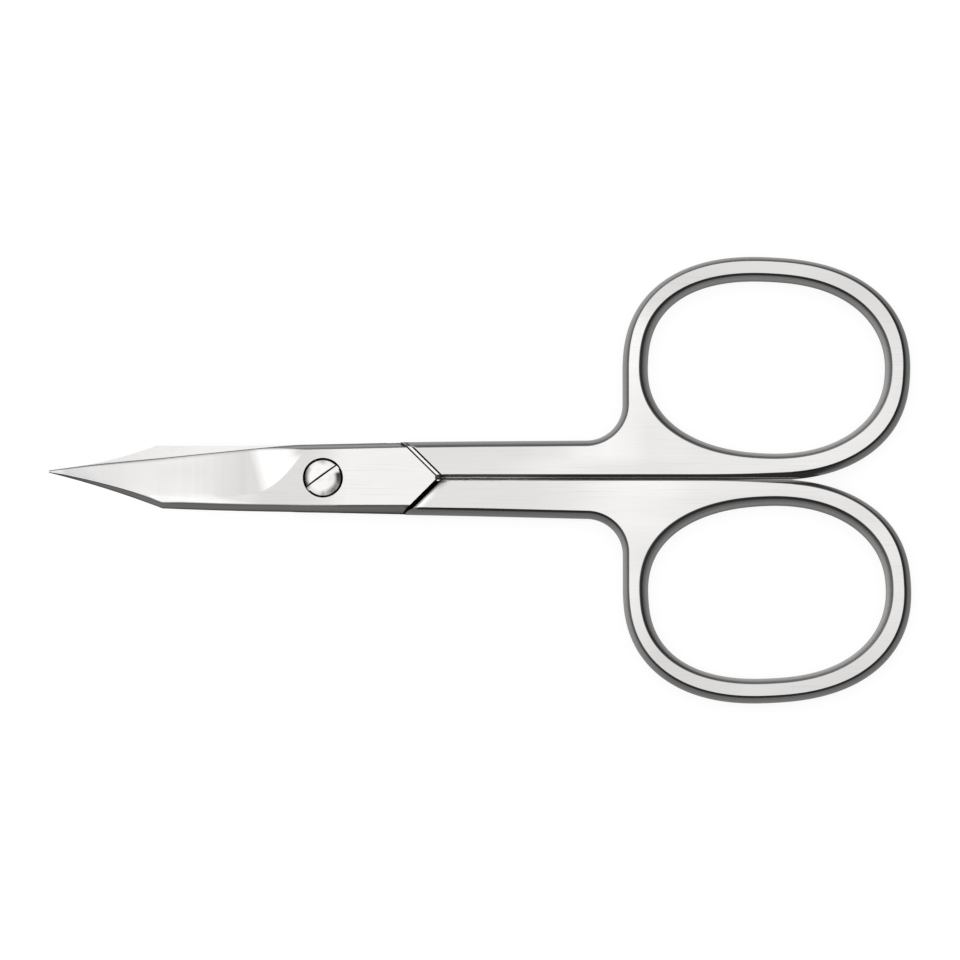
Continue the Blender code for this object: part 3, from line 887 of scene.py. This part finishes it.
# for each zone of the halves, where it begins and where it is complete
zones = {
    # along x
    "blade": (-15 * mm, -11 * mm),
    "rimEnd": (-11 * mm, -6 * mm),
    "runOut": (-7.35 * mm, -6.1 * mm),
    "wornAlong": (-3.9 * mm, -2.3 * mm),
    "streakEnd": (-6 * mm, -3 * mm),
    "tipEnd": (-26.5 * mm, -24 * mm),
    "arrow": (11.66 * mm, 11.74 * mm),
    "arrowEnd": (12.2 * mm, 12.3 * mm),
    "openParting": (12.2 * mm, 13 * mm),
    "tightParting": (20 * mm, 26 * mm),
    "web": (28 * mm, 36 * mm),
    "ringAlong": (35 * mm, 39 * mm),
    # across the joint, square to its seams
    "seamFloor": (11.66 * mm, 11.7 * mm),
    "partingStart": (11.8 * mm, 11.9 * mm),
    "handle": (11.95 * mm, 12.1 * mm),
    "seamEnd": (12.2 * mm, 12.25 * mm),
    "pastSeam": (12.9 * mm, 13.1 * mm),
    "lowerFacet": (12.95 * mm, 13.6 * mm),
    "besideSeam": (0.7 * mm, 0.8 * mm),
    "besideNotch": (0.12 * mm, 0.26 * mm),
    # away from the parting
    "upper": (-0.01 * mm, 0.01 * mm),
    "crevice": (0.04 * mm, 0.24 * mm),
    "lowerCrevice": (0.06 * mm, 0.12 * mm),
    "matt": (0.055 * mm, 0.065 * mm),
    "mattEnd": (0.13 * mm, 0.155 * mm),
    "besideArrow": (0.28 * mm, 0.34 * mm),
    "partingSide": (0.42 * mm, 0.48 * mm),
    "facetOut": (0.7 * mm, 2.2 * mm),
    "shankOut": (1.2 * mm, 2.4 * mm),
    "wornOut": (1.9 * mm, 2.7 * mm),
    "notch": (2.9 * mm, 3.0 * mm),
    "notchSeam": (3.1 * mm, 3.2 * mm),
    "webOut": (4 * mm, 6 * mm),
    "ringOut": (4.5 * mm, 8 * mm),
    # up or down from the middle of the thickness
    "rise": (0.15 * mm, 0.7 * mm),
    "aboveFloor": (1.15 * mm, 1.25 * mm),
    "faceEdge": (1.2 * mm, 1.34 * mm),
    # from the meeting face, the ridge of the grinding and the crest of the blade's back
    "offMeeting": (0.01 * mm, 0.03 * mm),
    "foot": (0.12 * mm, 0.3 * mm),
    "streak": (0.35 * mm, 0.55 * mm),
    "streakTop": (0.75 * mm, 0.95 * mm),
    "ground": (-0.01 * mm, 0.05 * mm),
    "crest": (-0.16 * mm, -0.04 * mm),
    "farAcross": (3.8 * mm, 5 * mm),
    # the recess of the screw head: from the axis, and up from the table
    "recessWall": (2.11 * mm, 2.13 * mm),
    "recessTop": (2.80 * mm, 2.83 * mm),
    # how a normal lies, and the edge of the hole as a share of its size
    "facesSeam": (0.25, 0.4),
    "flat": (0.9, 0.97),
    "flatEdge": (0.93, 0.98),
    "towardsLight": (-0.2, 0.9),
    "aimsUp": (-0.1, 0),
    "hole": (0.98, 1.02),
    # how strong the hairlines are
    "hairline": (0.68, 0.74),
}


def brushedSteel():
    material = bpy.data.materials.new("brushed_steel")
    material.use_nodes = True
    tree = Tree(material.node_tree)
    look = halfFinish

    def zone(name, wire, shape="LINEAR"):
        return wire.share(*zones[name], shape)

    def ramp(name, along):
        return tree.ramp(look[name], along)

    spot = tree.node("ShaderNodeTexCoord", output="Object")
    at = tree.node("ShaderNodeSeparateXYZ", {}, {0: spot})
    normal = tree.node("ShaderNodeSeparateXYZ", {}, {0: spot["Normal"]})
    x, outward, height = at["X"], abs(at["Y"]), abs(at["Z"] - middle)
    upright = abs(normal["Z"])
    onUpper = zone("upper", at["Y"])
    onLower = 1 - onUpper
    upperShift, lowerShift = joint["seamShifts"][1], joint["seamShifts"][-1]
    diagonal = x + outward - mix(lowerShift, upperShift, onUpper)

    # where: handles behind the joint, flat and ground faces
    onHandle = zone("handle", diagonal)
    inFront = 1 - onHandle
    pastSeam = zone("pastSeam", diagonal)
    faceFrom = 0.74 + 0.08 * pastSeam
    isFace = upright.share(faceFrom, faceFrom + 0.06 + 0.06 * pastSeam)
    isSide = 1 - isFace
    fromCrest, fromRidge, fromMeeting = (
        tree.node("ShaderNodeAttribute", {"attribute_name": name}, output="Fac")
        for name in ("fromCrest", "fromRidge", "fromMeeting")
    )
    isMeeting = (1 - zone("offMeeting", fromMeeting)) * inFront
    isGround = zone("ground", fromRidge) * (1 - isMeeting) * inFront * isFace
    ringX, ringY = x - handle["ringDistance"], outward - handle["ringWidth"]
    holeLength, holeWidth = look["hole"]
    inHole = 1 - zone("hole", (ringX / holeLength) ** 2 + (ringY / holeWidth) ** 2)

    # where: the seam of the joint, the parting gap and the recess
    atSeam = 1 - zone("besideSeam", abs(diagonal - look["seamMiddle"]))
    facesSeam = zone("facesSeam", abs(normal["X"]))
    seamFloor = zone("seamFloor", diagonal) * (1 - zone("seamEnd", diagonal))
    seamFloor = seamFloor * (1 - zone("aboveFloor", height))
    inParting = (1 - zone("partingSide", outward)) * zone("partingStart", diagonal)
    fromAxis = tree.length(x, outward)
    inRecess = (1 - zone("recessWall", fromAxis)) * (1 - zone("recessTop", at["Z"]))

    # painted reflections differ along plate and blade; a painted highlight runs as a bright rim
    # along the back of the blade, another lies where the grinding ends, and painted shade lies near
    # the cutting edge by the plate
    onPlate = ramp("plateStops", x.share(look["plateFrom"], joint["plateLength"]))
    onGround = ramp("groundStops", x.share(look["groundFrom"], 0 * mm))
    # painted reflection: brighter near the crest of the back and far across it, towards the tip
    across = (0.115 - fromCrest * (0.04 / mm)).atLeast(-0.02) + 0.06 * zone("farAcross", fromCrest)
    across = across * (1 - zone("blade", x))
    # painted highlight where the grinding runs out
    slanted = x + 0.28 * (fromCrest - 4 * mm)
    onGround = mix(onGround * (1 + across), look["runOut"], zone("runOut", slanted))
    # painted shade near the cutting edge by the plate
    worn = zone("wornAlong", x, "SMOOTHSTEP") * zone("wornOut", outward, "SMOOTHSTEP")
    onGround = mix(onGround, look["worn"], worn)
    # painted highlight: a bright rim along the back of the blade, whose width changes along it
    nearTip, nearPlate = (x + 23.3 * mm) * 0.17 + 0.3 * mm, (0 - x - 9 * mm) * 0.25 + 0.35 * mm
    rimWidth = nearTip.atMost(nearPlate).atLeast(0.25 * mm).atMost(1.1 * mm)
    rim = (1 - fromCrest.share(0.15 * mm, rimWidth)) * (1 - zone("rimEnd", x))
    onBlade = mix(onPlate, onGround, isGround)
    onBlade = mix(onBlade, look["rim"], rim)
    onBlade = mix(onBlade, look["meeting"], isMeeting)

    # painted reflections on the handles: brightest where shank and ring meet, and changing around
    # the rings
    along = x.share(*look["shankSpan"])
    shankOut = zone("shankOut", outward)
    upper = mix(ramp("upperParting", along), ramp("upperShank", along), shankOut)
    onShank = mix(ramp("lowerShank", along), upper, onUpper)
    turn = tree.turn(ringX, ringY)
    onRing = mix(ramp("lowerRing", turn), ramp("upperRing", turn), onUpper)
    behind = zone("ringOut", outward).atLeast(zone("ringAlong", x))
    onRing = mix(onShank, onRing, behind)
    # painted highlight on the sloped facets by the seam and on the lower half's rounded shoulder,
    # with painted shade on that shoulder near the parting
    onRing = mix(onRing, look["facet"], (1 - pastSeam) * (1 - zone("flat", upright)))
    nearSeam = onLower * (1 - zone("lowerFacet", diagonal))
    lowerFacet = mix(look["facetInside"], look["facet"], zone("facetOut", outward))
    onRing = mix(onRing, lowerFacet, nearSeam)
    # painted shade on the web of the lower half
    lowerWeb = onLower * shankOut * (1 - zone("webOut", outward)) * zone("web", x)
    onRing = onRing * (1 - 0.055 * lowerWeb)
    paintedSheen = mix(onBlade, onRing, onHandle)

    grain = tree.noise(spot, look["grain"], 3.0)
    fine = tree.noise(spot, look["fineGrain"], 2.0)
    cloud = tree.noise(spot, look["cloud"], 2.0)
    hairline = zone("hairline", tree.noise(spot, look["hairline"], 0.0))
    marks = tree.noise(spot, look["grindMarks"], 2.0)
    streaks = 0.10 * (grain - 0.5) + 0.05 * (fine - 0.5) - 0.06 * hairline
    streaks = mix(streaks, 0.10 * (marks - 0.5), isGround) + 0.08 * (cloud - 0.5)
    face = paintedSheen * (1 + streaks)

    # the sides are satin, and painted shade makes them dark, darker towards the meeting face, along
    # the crest, at the middle of the thickness and in the notch; painted light brightens the hole
    # walls away from the middle, and a lighter band runs along the side of the upper blade
    lightX, lightY = look["light"]
    towards = zone("towardsLight", lightX * normal["X"] + lightY * normal["Y"])
    # painted shade at the middle of the thickness, most in the holes, and painted light on the hole
    # walls above and below it
    rise = zone("rise", height)
    lowest = (1 - rise) * (0.3 + 0.35 * inHole)
    wall = mix(*look["sides"], towards) * (1 - lowest) + look["holeGlow"] * rise * inHole
    # painted shade towards the meeting face and along the crest
    foot = (1 - zone("foot", fromMeeting)).atLeast(1 - zone("tipEnd", x))
    crest = zone("crest", fromCrest) * zone("aimsUp", normal["Z"])
    wall = wall * (1 - (0.62 * foot).atLeast(0.35 * crest) * inFront) * (1 + 0.3 * (fine - 0.5))
    # a lighter band along the side of the upper blade near the plate
    streak = zone("streak", fromMeeting) * (1 - zone("streakTop", fromMeeting))
    wall = wall * (1 + 0.6 * streak * inFront * onUpper * zone("streakEnd", x))
    # painted shade in the notch of the upper half's side
    notch = 1 - zone("besideNotch", abs(x + 0.57 * outward - look["notchPlace"]))
    wall = wall * (1 - 0.65 * notch * onUpper * zone("notch", outward))

    # black lines of painted shade: under the edges of the faces, in the seams and the recess, at
    # the arrow tip and in the parting, where painted light makes a lighter middle
    edgeLine = zone("faceEdge", height) * (1 - zone("flatEdge", upright)) * pastSeam
    onParting = isSide * inParting
    edgeShade = edgeLine * (1 - towards) * 0.88 * (1 - inParting)
    arrow = zone("arrow", x) * (1 - zone("arrowEnd", x)) * (1 - zone("besideArrow", outward))
    inNotch = onUpper * zone("notchSeam", outward)
    inSeam = (isSide * facesSeam * atSeam * (1 - inNotch)).atLeast(isFace * seamFloor)
    inSeam = inSeam.atLeast(inRecess).atLeast(arrow)
    # painted shade and light across the parting gap: dark edges, a lighter middle, darker where the
    # parting is tight
    crevice = ramp("partingStops", zone("crevice", outward))
    crevice = mix(0.05 + 0.85 * zone("lowerCrevice", outward), crevice, onUpper)
    crevice = crevice * (1 - 0.4 * zone("tightParting", x)) * (0.12 + 0.88 * zone("openParting", x))
    matt = zone("matt", outward) * (1 - zone("mattEnd", outward)) * onParting * onUpper
    value = mix(wall, face, isFace)
    value = mix(value, look["gap"], edgeShade)
    value = mix(value, crevice, onParting)
    seam = mix(look["seam"], look["gap"], onUpper)
    seam = mix(seam, mix(look["arrowWalls"], look["arrowFaces"], isFace), arrow)
    value = mix(value, seam, inSeam)

    faceRough = look["faceRoughness"] + 0.10 * (grain - 0.5) + 0.1 * hairline
    groundRough = look["groundRoughness"] + 0.08 * (marks - 0.5)
    wallRough = look["sideRoughness"] + 0.12 * (fine - 0.5)
    rough = mix(wallRough, mix(faceRough, groundRough, isGround), isFace)
    rough = mix(rough, look["dullRoughness"], edgeShade.atLeast(inSeam).atLeast(onParting))
    relief = mix(grain * 0.6 + fine * 0.4, marks * 0.5, isGround)
    bump = {"Strength": 0.5, "Distance": look["bumpHeight"], "Height": relief}
    tree.feed(material.node_tree.nodes["Principled BSDF"], {
        "Base Color": tree.scaled(look["tint"], value),
        "Metallic": 1 - 0.8 * matt,
        "Roughness": rough,
        "Normal": tree.node("ShaderNodeBump", {}, bump),
    })
    return material


screwFinish = {
    "tint": (1.0, 0.985, 0.977),
    "face": 0.86,
    "tarnish": 0.06,
    # painted shade on the slot walls and the side of the head
    "side": 0.03,
    "roughness": 0.16,
    # painted dark reflection around the rim of the head
    "rimStops": [
        (0.0, 0.98), (0.045, 1.0), (0.07, 0.1), (0.2, 0.12), (0.25, 0.5), (0.29, 0.35), (0.31, 0.1),
        (0.375, 0.2), (0.415, 0.85), (0.46, 0.95), (0.54, 1.0), (0.585, 0.7), (0.62, 0.2),
        (0.72, 0.3), (0.75, 0.85), (0.775, 0.55), (0.83, 0.8), (0.875, 0.93), (0.92, 0.97),
        (1.0, 0.98),
    ],
    "smudges": (900, 900, 900),
    "scratches": (2500, 14000, 14000),
    "bumpHeight": 0.002 * mm,
}


def polishedSteel():
    material = bpy.data.materials.new("polished_steel")
    material.use_nodes = True
    tree = Tree(material.node_tree)
    look = screwFinish
    spot = tree.node("ShaderNodeTexCoord", output="Object")
    at = tree.node("ShaderNodeSeparateXYZ", {}, {0: spot})
    upright = abs(tree.node("ShaderNodeSeparateXYZ", {}, {0: spot["Normal"]})["Z"])
    isFace = upright.share(0.60, 0.85)
    smudges = tree.noise(spot, look["smudges"], 4.0)
    scratches = tree.noise(spot, look["scratches"], 2.0)

    # a painted dark reflection darkens the rim of the head, most on the right, and random smudges
    # leave darker patches elsewhere
    x, y = at["X"], at["Y"]
    fromAxis = tree.length(x, y)
    worn = tree.ramp(look["rimStops"], tree.turn(x, y))
    inner = 1.35 * mm - 0.23 * mm * x.share(-0.5 * mm, 0.5 * mm)
    worn = worn * fromAxis.share(inner, inner + 0.42 * mm) * (0.9 + 1.2 * (smudges - 0.5))
    tarnish = worn.atLeast(smudges.share(0.52, 0.75) * 0.25).atMost(1)
    tarnish = tarnish + (scratches - 0.5) * 0.10
    value = look["face"] + (look["tarnish"] - look["face"]) * tarnish
    # painted shade: the slot walls and the sloping side of the head are nearly black
    value = look["side"] + (value - look["side"]) * isFace
    relief = smudges * 0.6 + scratches * 0.4
    bump = {"Strength": 0.4, "Distance": look["bumpHeight"], "Height": relief}
    tree.feed(material.node_tree.nodes["Principled BSDF"], {
        "Base Color": tree.scaled(look["tint"], value),
        "Metallic": 1.0,
        "Roughness": look["roughness"] + 0.2 * tarnish.atLeast(0) + 0.1 * (scratches - 0.5),
        "Normal": tree.node("ShaderNodeBump", {}, bump),
    })
    return material


studio = {
    "floorSize": 6.0,
    "underPart": 0.02 * mm,
    "floorColour": (0.93, 0.93, 0.93),
    "plainWhite": 0.8,  # how much of the floor's look is plain white, the rest shows the shadow
    "glow": 1.09,
    "lean": (0.10, 0.05),
    "sky": [(0.0, 0.8), (0.05, 0.75), (0.12, 0.14), (0.32, 0.16), (0.55, 0.8), (0.75, 1.1)],
}


def makeFloor():
    bm = bmesh.new()
    bmesh.ops.create_grid(bm, x_segments=1, y_segments=1, size=studio["floorSize"] / 2)
    bmesh.ops.translate(bm, verts=bm.verts, vec=(0, 0, -studio["underPart"]))
    floor = place("floor", meshFrom("floor", bm))
    material = bpy.data.materials.new("white_table")
    material.use_nodes = True
    nodes = material.node_tree.nodes
    nodes.remove(nodes["Principled BSDF"])
    tree = Tree(material.node_tree)
    ray = tree.node("ShaderNodeLightPath", output="Is Camera Ray")
    seen = ray.atLeast(ray["Is Glossy Ray"]).atLeast(ray["Is Transmission Ray"])
    paper = tree.node("ShaderNodeBsdfDiffuse", {}, {"Color": (*studio["floorColour"], 1)})
    white = tree.node("ShaderNodeEmission", {}, {"Color": (1, 1, 1, 1), "Strength": studio["glow"]})
    shares = {0: seen * studio["plainWhite"], 1: paper, 2: white}
    both = tree.node("ShaderNodeMixShader", {}, shares)
    tree.feed(nodes["Material Output"], {"Surface": both})
    floor.data.materials.append(material)


def makeSky():
    # a pale horizon, a dark band above it and a bright ceiling, brighter on the side of the tips
    world = bpy.data.worlds.new("studio")
    bpy.context.scene.world = world
    world.use_nodes = True
    tree = Tree(world.node_tree)
    aim = tree.node("ShaderNodeTexCoord", output="Generated")
    way = tree.node("ShaderNodeSeparateXYZ", {}, {0: aim})
    glow = tree.ramp(studio["sky"], way["Z"])
    leanX, leanY = studio["lean"]
    lean = 1 - leanX * way["X"] + leanY * way["Y"]
    tree.feed(world.node_tree.nodes["Background"], {"Color": glow, "Strength": lean})


view = {
    "tilt": math.radians(9.2),
    "lens": 600.0,
    "sensor": 36.0,
    "width": 100.13 * mm,
    "aim": (16.375 * mm, -0.026 * mm, middle),
}


def makeCamera():
    data = bpy.data.cameras.new("camera")
    data.lens = view["lens"]
    data.sensor_width = view["sensor"]
    distance = view["width"] * view["lens"] / view["sensor"]
    data.clip_end = 4 * distance
    camera = bpy.data.objects.new("camera", data)
    bpy.context.scene.collection.objects.link(camera)
    x, y, z = view["aim"]
    y -= distance * math.sin(view["tilt"])
    z += distance * math.cos(view["tilt"])
    camera.location = (x, y, z)
    camera.rotation_euler = (view["tilt"], 0, 0)
    bpy.context.scene.camera = camera


brushed = brushedSteel()
polished = polishedSteel()
bladeGroup = bladeTree()
for side, name, body in ((1, "upper_half", "upper_lever"), (-1, "lower_half", "lower_lever")):
    piece = makeHalf(name + "_ground", side, bladeGroup, brushed)
    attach(piece, body)
    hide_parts(name)
    print(name, len(piece.data.polygons), "faces")
pin = makeScrew(polished)
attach(pin, "lower_lever")
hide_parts("pivot_screw")
print("pivot screw", len(pin.data.polygons), "faces")

makeFloor()
makeSky()
makeCamera()
bpy.context.scene.view_settings.view_transform = "Standard"
print("studio ready")
